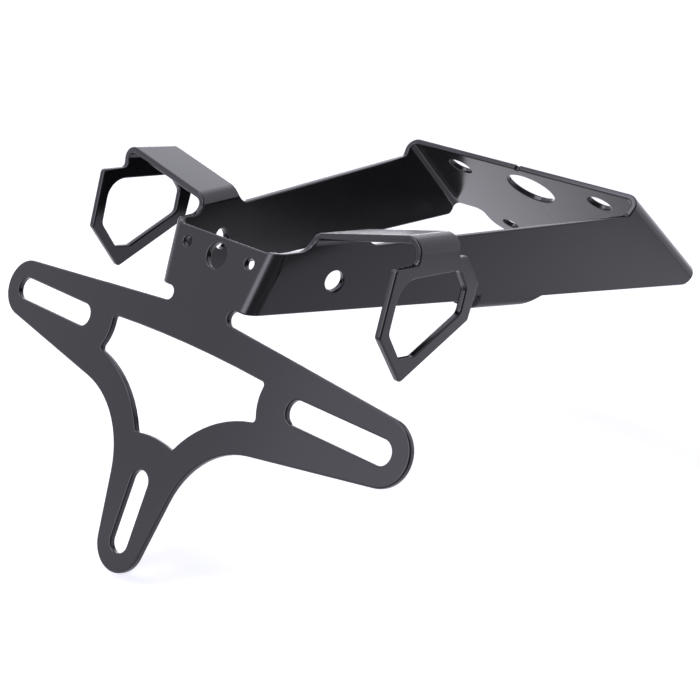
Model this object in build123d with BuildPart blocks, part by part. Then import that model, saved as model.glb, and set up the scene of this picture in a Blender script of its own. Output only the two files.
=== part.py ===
from build123d import *
from math import cos, radians, sin, tan
import os

os.makedirs("parts", exist_ok=True)

# Sheet and folds
sheet = 2.0
fold_in = 2.2
fold_out = fold_in + sheet
clear = 0.5
reach = 400.0

# Number plate holder: slots and wings
slot_w = 6.5
slot_len = 34.0
slot_x = 57.0
tip_r = 8.65
wing_fall = 4.8
wing_rise = 9.9

# Number plate holder: leg
leg_taper = 10.5
leg_bend_r = 26.0
leg_slot_top = -31.8
leg_slot_len = 23.6

# Number plate holder: window
strap_w = 8.8
window_top = 4.6
window_crown_r = 480.0
window_side_r = 13.3
window_r = 1.0
bump_gap = 9.5
bump_r = 30.0

# Neck between the arms
plate_lean = 17.6
neck_half = 15.06
neck_top = 34.8
neck_flat = 16.4
neck_rise = 30.0
relief_w = 4.05
relief_x = 13.1
relief_low = 13.55
lamp_hole_r = 1.5
lamp_hole_x = 12.1
lamp_hole_v = 30.55
lamp_wire_r = 3.5
lamp_wire_v = 29.6

# Arms
arm_splay = 11.17
arm_flare = 5.43
arm_bottom = 16.55
arm_top_near = 34.2
arm_top_far = 35.82
arm_top_far_y = 52.1
arm_top_rise = 3.85
arm_hole_r = 3.0
arm_hole_y = 30.9
arm_hole_z = 25.3
arm_end_h = 4.5
arm_end_r = 4.5

# Ears folded out from the arms
ear_rise = 13.1
ear_top_x = 50.0
ear_top_z = 45.5
ear_wall_z = 35.6
ear_front = 22.2
ear_rear = 38.5
ear_front_r = 4.0
ear_rear_r = 5.0
ear_root_x = 35.0
tab_top = 42.0
tab_low = 38.0
tab_r = 1.5

# Indicator rings, outer corners and opening corners named as seen from the side
ring_x = 57.2
ring_front = (11.0, 22.0)
ring_low = (21.75, 8.85)
ring_rear = (47.1, 22.3)
ring_back = (49.15, 32.7)
ring_crown = (42.1, 40.3)
ring_top = (13.6, 39.1)
ring_r = 1.2
open_front = (14.6, 22.75)
open_low = (20.2, 15.5)
open_sole = (25.6, 15.3)
open_rear = (43.1, 24.6)
open_back = (43.95, 31.5)
open_crown = (39.8, 36.6)
open_top = (16.45, 36.1)
open_r = 2.5
open_low_r = 0.8
open_top_r = 6.5

# Lips folded in under the arms
lip_z = 13.0
lip_depth = 9.0
lip_front = 86.3
lip_rear = 106.6
lip_run = 6.3
lip_relief = 1.6

# Tail mount flange, lengths down the flange from its top edge
mount_y = 145.1
mount_z = 46.65
mount_fall = 32.1
mount_step_r = 2.0
mount_hole_r = 4.25
mount_hole_x = 29.3
mount_hole_s = 10.3
wire_hole_r = 9.0
wire_hole_s = 13.7
low_hole_r = 3.25
low_hole_x = 28.0
low_hole_gap = 6.6
low_tab_r = 11.0
low_step_r = 3.0
seam_notch_r = 0.8

# Angles as slopes
lean = radians(plate_lean)
fall = radians(mount_fall)
splay = tan(radians(arm_splay))
flare = tan(radians(arm_flare))
top_rise = tan(radians(arm_top_rise))
ear_slope = tan(radians(ear_rise))
drop = radians(wing_fall)
lift = radians(wing_rise)
taper = radians(leg_taper)

# Length of the mount flange at its sides, and its lower holes
mount_len = (mount_z - arm_bottom - arm_end_h) / sin(fall)
low_hole_s = mount_len + low_hole_gap

# Faces of the folded panels
holder_face = Plane((0, 0, 0), x_dir=(1, 0, 0), z_dir=(0, -cos(lean), sin(lean)))
arm_face = Plane((neck_half, 0, 0), x_dir=(splay, 1, 0), z_dir=(1, -splay, -flare))
arm_face_left = Plane((-neck_half, 0, 0), x_dir=(-splay, 1, 0), z_dir=(-1, -splay, -flare))
mount_face = Plane((0, mount_y, mount_z), x_dir=(1, 0, 0), z_dir=(0, -sin(fall), -cos(fall)))
ear_face = Plane((ear_top_x, 0, ear_top_z), x_dir=(1, 0, ear_slope), z_dir=(-ear_slope, 0, 1))
ring_face = Plane((ring_x, 0, 0), x_dir=(0, 1, 0), z_dir=(1, 0, 0))
lip_face = Plane((0, 0, lip_z), x_dir=(1, 0, 0), z_dir=(0, 0, -1))


# Side view point by the holder: v up along its front face, n out in front of it
def by_holder(v, n):
    return (v * sin(lean) - n * cos(lean), v * cos(lean) + n * sin(lean))


# Side view point by the mount flange: s down from its top edge, d out through its upper face
def by_mount(s, d):
    return (mount_y + s * cos(fall) + d * sin(fall), mount_z - s * sin(fall) + d * cos(fall))


# Outer skin of the folded box: neck, two arms and mount flange with the outside bends
with BuildPart() as skin:
    with Locations((0, mount_y / 2, mount_z / 2)):
        Box(reach, reach, mount_z + 4 * fold_out)
    split(bisect_by=holder_face, keep=Keep.BOTTOM)
    split(bisect_by=arm_face, keep=Keep.BOTTOM)
    split(bisect_by=arm_face_left, keep=Keep.BOTTOM)
    split(bisect_by=mount_face.offset(-sheet), keep=Keep.TOP)
    fillet(skin.edges().filter_by(lambda e: abs((e @ 1 - e @ 0).Z) > sheet), fold_out)

# Hollow of the folded box, one sheet inside the skin with the inside bends
with BuildPart() as hollow:
    with Locations((0, mount_y / 2, mount_z / 2)):
        Box(reach, reach, mount_z + 4 * fold_out)
    split(bisect_by=holder_face.offset(-sheet), keep=Keep.BOTTOM)
    split(bisect_by=arm_face.offset(-sheet), keep=Keep.BOTTOM)
    split(bisect_by=arm_face_left.offset(-sheet), keep=Keep.BOTTOM)
    split(bisect_by=mount_face, keep=Keep.TOP)
    fillet(hollow.edges().filter_by(lambda e: abs((e @ 1 - e @ 0).Z) > sheet), fold_in)

# Right ear: a straight strip folded out of the arm, then down to the ring
ear_mid = (ear_front + ear_rear) / 2
ear_span = ear_rear - ear_front + 2 * ear_rear_r
with BuildPart() as ear_hollow:
    with Locations((ring_x, ear_mid, ear_wall_z)):
        Box(reach, 2 * ear_span, ear_wall_z, align=(Align.CENTER, Align.CENTER, Align.MIN))
    split(bisect_by=arm_face, keep=Keep.TOP)
    split(bisect_by=ear_face.offset(-sheet), keep=Keep.BOTTOM)
    split(bisect_by=ring_face.offset(-sheet), keep=Keep.BOTTOM)
    ear_folds = ear_hollow.edges().filter_by(lambda e: abs((e @ 1 - e @ 0).Y) > ear_span / 2)
    fillet(ear_folds.filter_by(lambda e: e.center().Z > ear_wall_z + clear), fold_in)
with BuildPart() as ear:
    with Locations((ring_x, ear_mid, ear_wall_z)):
        Box(reach, ear_span, ear_wall_z, align=(Align.CENTER, Align.CENTER, Align.MIN))
    split(bisect_by=arm_face.offset(-sheet), keep=Keep.TOP)
    split(bisect_by=ear_face, keep=Keep.BOTTOM)
    split(bisect_by=ring_face, keep=Keep.BOTTOM)
    ear_folds = ear.edges().filter_by(lambda e: abs((e @ 1 - e @ 0).Y) > ear_span / 2)
    fillet(ear_folds.filter_by(lambda e: e.center().Z > ear_wall_z + clear), fold_out)
    add(ear_hollow.part, mode=Mode.SUBTRACT)
    with BuildSketch():
        with Locations((ring_x, ear_mid)):
            Rectangle(reach, ear_rear - ear_front)
        with Locations((ear_root_x, ear_mid)):
            Rectangle(ear_root_x, ear_span, align=(Align.MAX, Align.CENTER))
    extrude(amount=reach / 4, mode=Mode.INTERSECT)
    with Locations((ear_root_x, ear_mid, tab_low)):
        Box(
            reach,
            ear_span,
            reach / 4,
            align=(Align.MIN, Align.CENTER, Align.MAX),
            mode=Mode.SUBTRACT,
        )

# Right indicator ring: a six-sided plate with an angular opening, hung from the ear
with BuildPart() as ring:
    with BuildSketch(ring_face) as ring_sketch:
        with BuildLine():
            Polyline(ring_front, ring_low, ring_rear, ring_back, ring_crown, ring_top, close=True)
        make_face()
        fillet(ring_sketch.vertices(), ring_r)
        with Locations((ear_mid, tab_top)):
            Rectangle(ear_rear - ear_front, tab_top - tab_low, align=(Align.CENTER, Align.MAX))
        tab_foot = ring_sketch.vertices().filter_by_position(Axis.Y, ring_top[1] - clear, tab_top - clear)
        fillet(tab_foot.filter_by_position(Axis.X, ear_front - clear, ear_rear + clear), tab_r)
        with BuildSketch(mode=Mode.PRIVATE) as opening:
            with BuildLine():
                Polyline(open_front, open_low, open_sole, open_rear, open_back, open_crown, open_top, close=True)
            make_face()
            fillet(opening.vertices().sort_by_distance(open_low)[0], open_low_r)
            fillet(opening.vertices().sort_by_distance(open_top)[0], open_top_r)
            for corner in [open_front, open_sole, open_rear, open_back, open_crown]:
                fillet(opening.vertices().sort_by_distance(corner)[0], open_r)
        add(opening.sketch_local, mode=Mode.SUBTRACT)
    extrude(amount=-sheet)

# Right lip: folded in under the arm
lip_mid = (lip_front + lip_rear + lip_run) / 2
lip_span = 2 * (lip_rear + lip_run - lip_front)
lip_x = neck_half + splay * lip_mid
with BuildPart() as lip_hollow:
    with Locations((lip_x, lip_mid, lip_z)):
        Box(lip_span, lip_span, 2 * fold_out, align=(Align.CENTER, Align.CENTER, Align.MIN))
    split(bisect_by=arm_face.offset(-sheet), keep=Keep.BOTTOM)
    split(bisect_by=lip_face.offset(-sheet), keep=Keep.BOTTOM)
    lip_folds = lip_hollow.edges().filter_by(lambda e: abs((e @ 1 - e @ 0).Y) > lip_span / 2)
    fillet(lip_folds.filter_by(lambda e: e.center().Z < lip_z + sheet + clear).sort_by(Axis.X)[-1], fold_in)
with BuildPart() as lip:
    with Locations((lip_x, lip_mid, lip_z)):
        Box(lip_span, lip_span, fold_out + sheet, align=(Align.CENTER, Align.CENTER, Align.MIN))
    split(bisect_by=arm_face, keep=Keep.BOTTOM)
    split(bisect_by=arm_face.offset(-lip_depth), keep=Keep.TOP)
    lip_folds = lip.edges().filter_by(lambda e: abs((e @ 1 - e @ 0).Y) > lip_span / 2)
    fillet(lip_folds.filter_by(lambda e: e.center().Z < lip_z + clear).sort_by(Axis.X)[-1], fold_out)
    add(lip_hollow.part, mode=Mode.SUBTRACT)
    with BuildSketch(Plane.YZ):
        with BuildLine():
            Polyline(
                (lip_front, lip_z - clear),
                (lip_rear, lip_z - clear),
                (lip_rear, lip_z),
                (lip_rear + lip_run, arm_bottom),
                (lip_rear + lip_run, lip_z + 2 * fold_out),
                (lip_front, lip_z + 2 * fold_out),
                close=True,
            )
        make_face()
    extrude(amount=reach / 4, mode=Mode.INTERSECT)

# Number plate holder outline, right half then mirrored
tip_x = slot_x + slot_len / 2 - slot_w / 2
wing_high = (tip_x + tip_r * sin(drop), tip_r * cos(drop))
wing_low = (tip_x + tip_r * sin(lift), -tip_r * cos(lift))
wing_root = (relief_x, wing_high[1] + tan(drop) * (wing_high[0] - relief_x))
leg_end = leg_slot_top - leg_slot_len + slot_w / 2
leg_half = tip_r / cos(taper) - tan(taper) * leg_end
leg_low = (tip_r * cos(taper), leg_end - tip_r * sin(taper))
low_line = wing_low[1] - tan(lift) * wing_low[0]
crotch_x = (leg_half + tan(taper) * low_line) / (1 - tan(taper) * tan(lift))
crotch = (crotch_x, low_line + tan(lift) * crotch_x)

# Centre of the large outside bend between wing and leg
bend_a = wing_low[0] * sin(lift) - wing_low[1] * cos(lift) + leg_bend_r
bend_b = leg_half * cos(taper) + leg_bend_r
bend_x = (bend_b * cos(lift) - bend_a * sin(taper)) / cos(lift + taper)
bend_v = (bend_b * sin(lift) - bend_a * cos(taper)) / cos(lift + taper)
slot_in_x = slot_x - slot_len / 2 + slot_w / 2
bump_v = leg_slot_top + bump_gap

# Window in the holder: bounded by arcs about the slot ends, the outside bends and the leg slot
with BuildSketch() as window:
    with Locations((0, bump_v - bump_gap / 2)):
        Rectangle(2 * (slot_in_x - window_side_r * 3 / 4), reach / 4, align=(Align.CENTER, Align.MIN))
    with Locations((0, window_top - window_crown_r)):
        Circle(window_crown_r, mode=Mode.INTERSECT)
    with Locations((slot_in_x, 0), (-slot_in_x, 0)):
        Circle(window_side_r, mode=Mode.SUBTRACT)
    with Locations((bend_x, bend_v), (-bend_x, bend_v)):
        Circle(leg_bend_r + strap_w, mode=Mode.SUBTRACT)
    with Locations((0, bump_v - bump_r)):
        Circle(bump_r, mode=Mode.SUBTRACT)
    fillet(window.vertices(), window_r)

# Side outline of the folded box
step_d = (arm_top_far + top_rise * (mount_y - arm_top_far_y) - mount_z) / (cos(fall) - top_rise * sin(fall))
end_d = (arm_bottom - mount_z + mount_len * sin(fall)) / cos(fall)
low_s = low_hole_s + low_tab_r + 2 * fold_out
wall_z = ear_wall_z + clear
rear_z = arm_top_far + top_rise * (ear_rear - arm_top_far_y)
strip_z = ear_top_z + 2 * fold_out
lip_gap_z = lip_z + fold_out + 2 * clear

with BuildPart() as bracket:
    # Folded box with the two ears
    add(skin.part)
    add(hollow.part, mode=Mode.SUBTRACT)
    with Locations((0, ear_mid, wall_z)):
        Box(
            reach,
            ear_span,
            reach / 4,
            align=(Align.CENTER, Align.CENTER, Align.MIN),
            mode=Mode.SUBTRACT,
        )
    add(ear.part)
    add(mirror(ear.part, about=Plane.YZ, mode=Mode.PRIVATE))

    # Box and ears cut to their side outline
    with BuildSketch(Plane.YZ) as side:
        with BuildLine():
            Polyline(
                (0, arm_bottom),
                by_holder(neck_top, clear),
                (ear_front, arm_top_near),
                (ear_front, strip_z),
                (ear_rear, strip_z),
                (ear_rear, rear_z),
                by_mount(0, step_d),
                by_mount(0, 2 * fold_out),
                by_mount(low_s, 2 * fold_out),
                by_mount(low_s, -clear),
                by_mount(mount_len, -clear),
                by_mount(mount_len, end_d),
                (lip_front, arm_bottom),
                (lip_front, lip_gap_z),
                (lip_front - lip_relief, lip_gap_z),
                (lip_front - lip_relief, arm_bottom),
                close=True,
            )
        make_face()
        fillet(side.vertices().sort_by_distance((ear_front, arm_top_near))[0], ear_front_r)
        fillet(side.vertices().sort_by_distance((ear_rear, rear_z))[0], ear_rear_r)
        fillet(side.vertices().sort_by_distance(by_mount(0, step_d))[0], mount_step_r)
        fillet(side.vertices().sort_by_distance(by_mount(mount_len, end_d))[0], arm_end_r)
    extrude(amount=reach / 4, both=True, mode=Mode.INTERSECT)

    # Top edge of the neck, square to the sheet between its bends
    neck_run = sheet / tan(radians(neck_rise))
    with BuildSketch(holder_face):
        with BuildLine():
            Polyline(
                (neck_flat, neck_top),
                (neck_flat + neck_run, neck_top + sheet),
                (-neck_flat - neck_run, neck_top + sheet),
                (-neck_flat, neck_top),
                close=True,
            )
        make_face()
    extrude(amount=2 * sheet, both=True, mode=Mode.SUBTRACT)

    # Foot of the mount flange: square at the sides, a rounded tab in the middle
    with BuildSketch(mount_face) as foot:
        with Locations((0, -mount_len)):
            Rectangle(reach / 2, reach / 4, align=(Align.CENTER, Align.MAX))
        with BuildSketch(mode=Mode.PRIVATE) as low_tab:
            with Locations((0, -mount_len / 2)):
                Rectangle(
                    2 * (low_hole_x + low_tab_r),
                    low_hole_s + low_tab_r - mount_len / 2,
                    align=(Align.CENTER, Align.MAX),
                )
            fillet(low_tab.vertices().sort_by(Axis.Y)[:2], low_tab_r)
        add(low_tab.sketch_local, mode=Mode.SUBTRACT)
        foot_corners = foot.vertices().filter_by_position(Axis.Y, -mount_len - clear, -mount_len + clear)
        fillet(foot_corners.sort_by(lambda v: abs(v.X))[:2], low_step_r)
    extrude(amount=4 * fold_out, both=True, mode=Mode.SUBTRACT)

    # Holes in the mount flange and the notch where the two halves meet
    with BuildSketch(mount_face):
        with Locations((mount_hole_x, -mount_hole_s), (-mount_hole_x, -mount_hole_s)):
            Circle(mount_hole_r)
        with Locations((low_hole_x, -low_hole_s), (-low_hole_x, -low_hole_s)):
            Circle(low_hole_r)
        with Locations((0, -wire_hole_s)):
            Circle(wire_hole_r)
        Circle(seam_notch_r)
    extrude(amount=2 * sheet, both=True, mode=Mode.SUBTRACT)

    # Number plate holder, in one plane with the neck
    with BuildSketch(holder_face) as holder:
        with BuildLine():
            Polyline((0, leg_end - tip_r), (0, relief_low + 2 * relief_w), (relief_x, relief_low + 2 * relief_w))
            Polyline((relief_x, relief_low + 2 * relief_w), wing_root, wing_high)
            ThreePointArc(wing_high, (tip_x + tip_r, 0), wing_low)
            Polyline(wing_low, crotch, leg_low)
            ThreePointArc(
                leg_low,
                (tip_r * sin(radians(45)), leg_end - tip_r * cos(radians(45))),
                (0, leg_end - tip_r),
            )
        make_face()
        mirror(about=Plane.YZ)
        for side_x in [1, -1]:
            fillet(holder.vertices().sort_by_distance((side_x * crotch[0], crotch[1]))[0], leg_bend_r)
        with Locations((slot_x, 0), (-slot_x, 0)):
            SlotOverall(slot_len, slot_w, mode=Mode.SUBTRACT)
        with Locations((0, leg_slot_top - leg_slot_len / 2)):
            SlotOverall(leg_slot_len, slot_w, rotation=90, mode=Mode.SUBTRACT)
        add(window.sketch, mode=Mode.SUBTRACT)
    extrude(amount=-sheet)

    # Bend reliefs beside the neck
    with BuildSketch(holder_face):
        with Locations((relief_x, relief_low + relief_w / 2)):
            Circle(relief_w / 2)
            Rectangle(2 * relief_w, relief_w, align=(Align.MIN, Align.CENTER))
        mirror(about=Plane.YZ)
    extrude(amount=2 * sheet, both=True, mode=Mode.SUBTRACT)

    # Lamp holes in the neck
    with BuildSketch(holder_face):
        with Locations((lamp_hole_x, lamp_hole_v), (-lamp_hole_x, lamp_hole_v)):
            Circle(lamp_hole_r)
        with Locations((0, lamp_wire_v)):
            Circle(lamp_wire_r)
    extrude(amount=2 * sheet, both=True, mode=Mode.SUBTRACT)

    # Cable holes through the arms
    arm_hole_x = neck_half + splay * arm_hole_y + flare * arm_hole_z
    with BuildSketch(Plane((arm_hole_x, arm_hole_y, arm_hole_z), z_dir=arm_face.z_dir)):
        Circle(arm_hole_r)
    extrude(amount=2 * sheet, both=True, mode=Mode.SUBTRACT)
    with BuildSketch(Plane((-arm_hole_x, arm_hole_y, arm_hole_z), z_dir=arm_face_left.z_dir)):
        Circle(arm_hole_r)
    extrude(amount=2 * sheet, both=True, mode=Mode.SUBTRACT)

    # Rings and lips on both sides
    for piece in [ring.part, lip.part]:
        add(piece)
        add(mirror(piece, about=Plane.YZ, mode=Mode.PRIVATE))

bracket.part.label = "folded_bracket"
export_step(bracket.part, "parts/folded_bracket.step")
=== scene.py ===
from itertools import combinations
from math import radians

import bmesh
import bpy
from mathutils import Matrix, Vector


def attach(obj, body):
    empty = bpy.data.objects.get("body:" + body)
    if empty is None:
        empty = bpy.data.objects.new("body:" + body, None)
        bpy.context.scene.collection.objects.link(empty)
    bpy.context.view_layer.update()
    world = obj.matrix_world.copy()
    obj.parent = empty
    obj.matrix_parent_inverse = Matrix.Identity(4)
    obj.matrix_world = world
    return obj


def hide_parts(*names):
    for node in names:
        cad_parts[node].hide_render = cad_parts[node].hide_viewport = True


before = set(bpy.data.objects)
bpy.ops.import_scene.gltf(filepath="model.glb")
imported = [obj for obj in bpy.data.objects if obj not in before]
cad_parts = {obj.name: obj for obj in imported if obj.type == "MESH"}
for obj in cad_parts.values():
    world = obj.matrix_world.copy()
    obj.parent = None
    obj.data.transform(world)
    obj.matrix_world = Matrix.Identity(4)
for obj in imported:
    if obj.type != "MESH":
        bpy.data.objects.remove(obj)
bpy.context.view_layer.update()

# Folded bracket: one laser-cut blank of 2 mm steel sheet, folded into holder, neck, arms, ears and
# flange, closed by a dressed seam along the flange and powder coated satin black.
# The coat rounds the cut edges. Bends stay smooth, and corners that run to a point stay as they are.
edge_softness = 0.0005
bend_angle = radians(28)
point_angle = radians(35)
flat_angle = radians(0.5)
weld_gap = 0.0001
speck = 0.00002
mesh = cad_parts["folded_bracket"].data.copy()
mesh.name = "coated_bracket"
work = bmesh.new()
work.from_mesh(mesh)
bmesh.ops.remove_doubles(work, verts=work.verts, dist=weld_gap)
bmesh.ops.dissolve_limit(work, angle_limit=flat_angle, verts=work.verts, edges=work.edges)
bmesh.ops.dissolve_degenerate(work, dist=speck, edges=work.edges)

# A tiny step at each top corner of the neck, where its top cut runs out into the arm, is closed.
neck_step = Vector((0.0193, 0.01485, 0.0336))
step_reach = 0.0006
step_gap = 0.0005
step = [
    vert for vert in work.verts
    if (Vector((abs(vert.co.x), vert.co.y, vert.co.z)) - neck_step).length < step_reach
]
bmesh.ops.remove_doubles(work, verts=step, dist=step_gap)
bmesh.ops.dissolve_degenerate(work, dist=speck, edges=work.edges)

cut = work.edges.layers.float.new("bevel_weight_edge")
for edge in work.edges:
    edge[cut] = float(edge.is_manifold and edge.calc_face_angle() > bend_angle)
pointed = []
for corner in work.verts:
    spokes = [edge.other_vert(corner).co - corner.co for edge in corner.link_edges if edge[cut] > 0]
    if any(one.angle(other) < point_angle for one, other in combinations(spokes, 2)):
        pointed.append(corner)
for corner in pointed:
    for edge in corner.link_edges:
        edge[cut] = 0

# The sliver between that cut and the inside of the bend is thinner than the rounding and stays sharp.
sliver_x, sliver_y, sliver_z = 0.0168, 0.01057, 0.0333
sliver_slope = 0.654
sliver_end_y = 0.0149
for edge in work.edges:
    x, y, z = (edge.verts[0].co + edge.verts[1].co) / 2
    inside_cut = sliver_x < abs(x) < sliver_x + sliver_slope * (y - sliver_y)
    if inside_cut and y < sliver_end_y and z > sliver_z:
        edge[cut] = 0

for face in work.faces:
    face.smooth = True
work.to_mesh(mesh)
work.free()

# The seam leaves a shallow line in the coat, from the notch in the flange's top edge to its lower tab.
seam_half_width = 0.0009
seam_depth = 0.00006
flange_start_y = 0.14
coat = bpy.data.materials.new("satin_black_powder_coat")
coat.use_nodes = True
tree = coat.node_tree
place = tree.nodes.new("ShaderNodeTexCoord").outputs["Object"]


def fade(tree, value, span, levels, curve="LINEAR"):
    node = tree.nodes.new("ShaderNodeMapRange")
    node.interpolation_type = curve
    for name, limit in zip(("From Min", "From Max", "To Min", "To Max"), (*span, *levels)):
        node.inputs[name].default_value = limit
    tree.links.new(value, node.inputs["Value"])
    return node.outputs["Result"]


def worked_out(tree, operation, *terms):
    node = tree.nodes.new("ShaderNodeMath")
    node.operation = operation
    for socket, term in zip(node.inputs, terms):
        if isinstance(term, float):
            socket.default_value = term
        else:
            tree.links.new(term, socket)
    return node.outputs[0]


axes = tree.nodes.new("ShaderNodeSeparateXYZ")
tree.links.new(place, axes.inputs[0])
offset = worked_out(tree, "ABSOLUTE", axes.outputs["X"])
line = fade(tree, offset, span=(0, seam_half_width), levels=(1, 0), curve="SMOOTHSTEP")
flange = worked_out(tree, "GREATER_THAN", axes.outputs["Y"], flange_start_y)
seam = tree.nodes.new("ShaderNodeBump")
seam.invert = True
seam.inputs["Strength"].default_value = 0.35
seam.inputs["Distance"].default_value = seam_depth
tree.links.new(worked_out(tree, "MULTIPLY", line, flange), seam.inputs["Height"])

# The coat is a baked polyester skin. It flows a little before it sets, which leaves a faint orange
# peel and a slightly uneven sheen.
satin_black = (0.002, 0.002, 0.0023, 1)
cool_shine = (0.96, 0.92, 1.0, 1)
sheen_levels = (0.16, 0.2)
cloud_scale = 90
peel_scale = 900
peel_depth = 0.00005


def mottle(tree, place, scale, detail):
    noise = tree.nodes.new("ShaderNodeTexNoise")
    noise.inputs["Scale"].default_value = scale
    noise.inputs["Detail"].default_value = detail
    tree.links.new(place, noise.inputs["Vector"])
    return noise.outputs["Fac"]


surface = tree.nodes["Principled BSDF"]
surface.inputs["Base Color"].default_value = satin_black
surface.inputs["IOR"].default_value = 1.5
surface.inputs["Specular Tint"].default_value = cool_shine
clouds = mottle(tree, place, cloud_scale, detail=4)
tree.links.new(fade(tree, clouds, span=(0, 1), levels=sheen_levels), surface.inputs["Roughness"])
peel = tree.nodes.new("ShaderNodeBump")
peel.inputs["Strength"].default_value = 0.04
peel.inputs["Distance"].default_value = peel_depth
tree.links.new(mottle(tree, place, peel_scale, detail=2), peel.inputs["Height"])
tree.links.new(seam.outputs["Normal"], peel.inputs["Normal"])
tree.links.new(peel.outputs["Normal"], surface.inputs["Normal"])

mesh.materials.clear()
mesh.materials.append(coat)
bracket = bpy.data.objects.new("coated_bracket", mesh)
bpy.context.scene.collection.objects.link(bracket)
soften = bracket.modifiers.new("coat_rounding", "BEVEL")
soften.width = edge_softness
soften.segments = 3
soften.limit_method = "WEIGHT"
soften.use_clamp_overlap = False
soften.loop_slide = False
level_faces = bracket.modifiers.new("level_faces", "WEIGHTED_NORMAL")
level_faces.weight = 100
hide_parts("folded_bracket")
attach(bracket, "root")

# Floor: a wide disc of matt white paper under the bracket, which takes its soft shadow.
# Mirrored in the coat, its glow holds painted light and shade: painted light on the left and near by,
# painted shade towards the near right, where the room is dark, a painted shadow of the flange, and
# painted dimming far out in front.
floor_radius = 0.6
floor_z = -0.06
paper_white = (0.85, 0.85, 0.85, 1)
paper_glow = 0.75
glow_tint = (0.92, 0.92, 1, 1)
painted_light_side = (-0.75, 0.66, 0)
painted_light_span = (-0.18, 0.02)
painted_shadow_centre = (0.03, 0.23, floor_z)
painted_shadow_radius = 0.2
in_front = (0, 1, 0)
far_span = (0.35, 0.43)

mesh = bpy.data.meshes.new("studio_floor")
work = bmesh.new()
lowered = Matrix.Translation((0, 0, floor_z))
bmesh.ops.create_circle(work, cap_ends=True, segments=96, radius=floor_radius, matrix=lowered)
work.to_mesh(mesh)
work.free()
floor = bpy.data.objects.new("studio_floor", mesh)
bpy.context.scene.collection.objects.link(floor)

paper = bpy.data.materials.new("white_paper")
paper.use_nodes = True
tree = paper.node_tree
tree.nodes.clear()
place = tree.nodes.new("ShaderNodeTexCoord").outputs["Object"]
rays = tree.nodes.new("ShaderNodeLightPath").outputs


def along(tree, place, direction):
    node = tree.nodes.new("ShaderNodeVectorMath")
    node.operation = "DOT_PRODUCT"
    node.inputs[1].default_value = direction
    tree.links.new(place, node.inputs[0])
    return node.outputs["Value"]


# Painted light: the glow that reflections see is bright towards the left and dark towards the near
# right.
painted_light_leftward = fade(tree, along(tree, place, painted_light_side), span=painted_light_span, levels=(0, 0.95))
away = tree.nodes.new("ShaderNodeVectorMath")
away.operation = "DISTANCE"
away.inputs[1].default_value = painted_shadow_centre
tree.links.new(place, away.inputs[0])
painted_shadow_span = (0, painted_shadow_radius)
# Painted shadow of the flange: the glow that reflections see drops in a disc under the flange.
painted_flange_shadow = fade(tree, away.outputs["Value"], span=painted_shadow_span, levels=(0.15, 1), curve="SMOOTHSTEP")
# Painted shade: the glow that reflections see dims far out in front.
painted_far_dimming = fade(tree, along(tree, place, in_front), span=far_span, levels=(1, 0.4), curve="SMOOTHSTEP")
# The painted light and shade, multiplied together, set the floor's glow wherever reflections see it;
# the camera sees an even glow.
mirrored = worked_out(tree, "MULTIPLY", worked_out(tree, "MULTIPLY", painted_light_leftward, painted_flange_shadow), painted_far_dimming)
mirrors = worked_out(tree, "MAXIMUM", rays["Is Glossy Ray"], rays["Is Transmission Ray"])
painted_reflection_glow = worked_out(tree, "MULTIPLY", mirrors, mirrored)
level = worked_out(tree, "MULTIPLY_ADD", rays["Is Camera Ray"], paper_glow, painted_reflection_glow)

matt = tree.nodes.new("ShaderNodeBsdfDiffuse")
matt.inputs["Color"].default_value = paper_white
glow = tree.nodes.new("ShaderNodeEmission")
glow.inputs["Color"].default_value = glow_tint
tree.links.new(level, glow.inputs["Strength"])
both = tree.nodes.new("ShaderNodeAddShader")
tree.links.new(matt.outputs[0], both.inputs[0])
tree.links.new(glow.outputs[0], both.inputs[1])
finish = tree.nodes.new("ShaderNodeOutputMaterial")
tree.links.new(both.outputs[0], finish.inputs["Surface"])
floor.data.materials.append(paper)

# Room: a white studio, its walls dim on the side where the camera stands.
# A dark doorway stands low in front of the bracket, where the inside of the left arm mirrors it.
room_white = (0.91, 0.915, 1, 1)
room_light = 0.15
backdrop_white = 1.12
lit_side = (-0.77, 0.64, 0)
lit_span = (-0.75, 0)
wall_levels = (0.25, 1)
mirrored_levels = (0.03, 1.27)
doorway_side = Vector((0.273, 0.949, -0.17)).normalized()
doorway_span = (0.966, 0.996)

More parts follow.
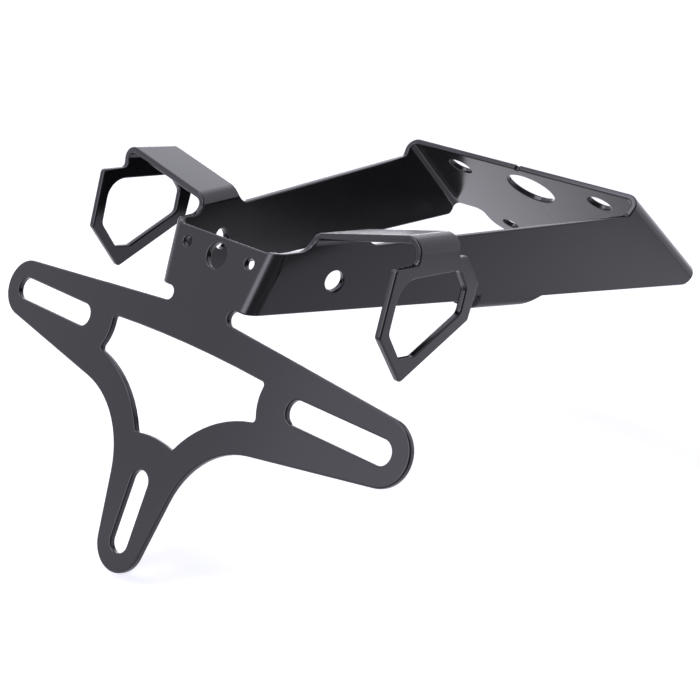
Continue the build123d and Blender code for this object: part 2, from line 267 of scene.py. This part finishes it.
world = bpy.data.worlds.new("studio")
bpy.context.scene.world = world
world.use_nodes = True
tree = world.node_tree
toward = tree.nodes.new("ShaderNodeTexCoord").outputs["Generated"]
rays = tree.nodes.new("ShaderNodeLightPath").outputs
walls = fade(tree, along(tree, toward, lit_side), span=lit_span, levels=wall_levels, curve="SMOOTHSTEP")
to_doorway = along(tree, toward, doorway_side)
doorway = fade(tree, to_doorway, span=doorway_span, levels=(1, 0), curve="SMOOTHSTEP")
lit = worked_out(tree, "MULTIPLY", walls, doorway)
mirrored = fade(tree, lit, span=(0, 1), levels=mirrored_levels)
mirrors = worked_out(tree, "MAXIMUM", rays["Is Glossy Ray"], rays["Is Transmission Ray"])
strength = tree.nodes.new("ShaderNodeMix")
strength.inputs["A"].default_value = room_light
tree.links.new(mirrored, strength.inputs["B"])
tree.links.new(mirrors, strength.inputs["Factor"])
backdrop = worked_out(tree, "MULTIPLY", rays["Is Camera Ray"], backdrop_white)
white = worked_out(tree, "MAXIMUM", strength.outputs["Result"], backdrop)
sky = tree.nodes["Background"]
sky.inputs["Color"].default_value = room_white
tree.links.new(white, sky.inputs["Strength"])

# Soft boxes: one hangs above on the left, one over the holder, and a long one stands low in front.
# A tall one and a wide screen stand behind the holder and light the face that the camera sees.
lamp_white = (0.93, 0.935, 1)
lamp_target = Vector((0, 0.05, 0))
for name, spot, width, height, power in [
    ("soft_box_above", (-0.75, 0.25, 0.80), 2.2, 0.7, 2.2),
    ("soft_box_top", (-0.30, -0.60, 1.00), 0.65, 0.65, 5.6),
    ("soft_box_behind", (-0.18, -1.20, 0.25), 0.65, 1.0, 7.2),
    ("wide_screen_behind", (-0.20, -1.30, 0.25), 1.5, 1.0, 4.3),
    ("soft_box_low", (-0.90, 1.05, 0.10), 0.9, 0.2, 1.6),
]:
    lamp = bpy.data.lights.new(name, "AREA")
    lamp.shape = "RECTANGLE"
    lamp.size = width
    lamp.size_y = height
    lamp.energy = power
    lamp.color = lamp_white
    box = bpy.data.objects.new(name, lamp)
    box.location = spot
    box.rotation_euler = (lamp_target - Vector(spot)).to_track_quat("-Z", "Y").to_euler()
    bpy.context.scene.collection.objects.link(box)

# Camera: a long lens behind the holder, to its right and a little above.
# It looks forward along the bracket, and is tilted slightly to one side.
lens = bpy.data.cameras.new("camera")
lens.sensor_width = 36
lens.lens = 65.298
camera = bpy.data.objects.new("camera", lens)
camera.location = (0.23766, -0.22148, 0.11136)
camera.rotation_euler = (radians(72.285), radians(-8.0), radians(41.687))
bpy.context.scene.collection.objects.link(camera)
bpy.context.scene.camera = camera
bpy.context.scene.view_settings.view_transform = "Standard"
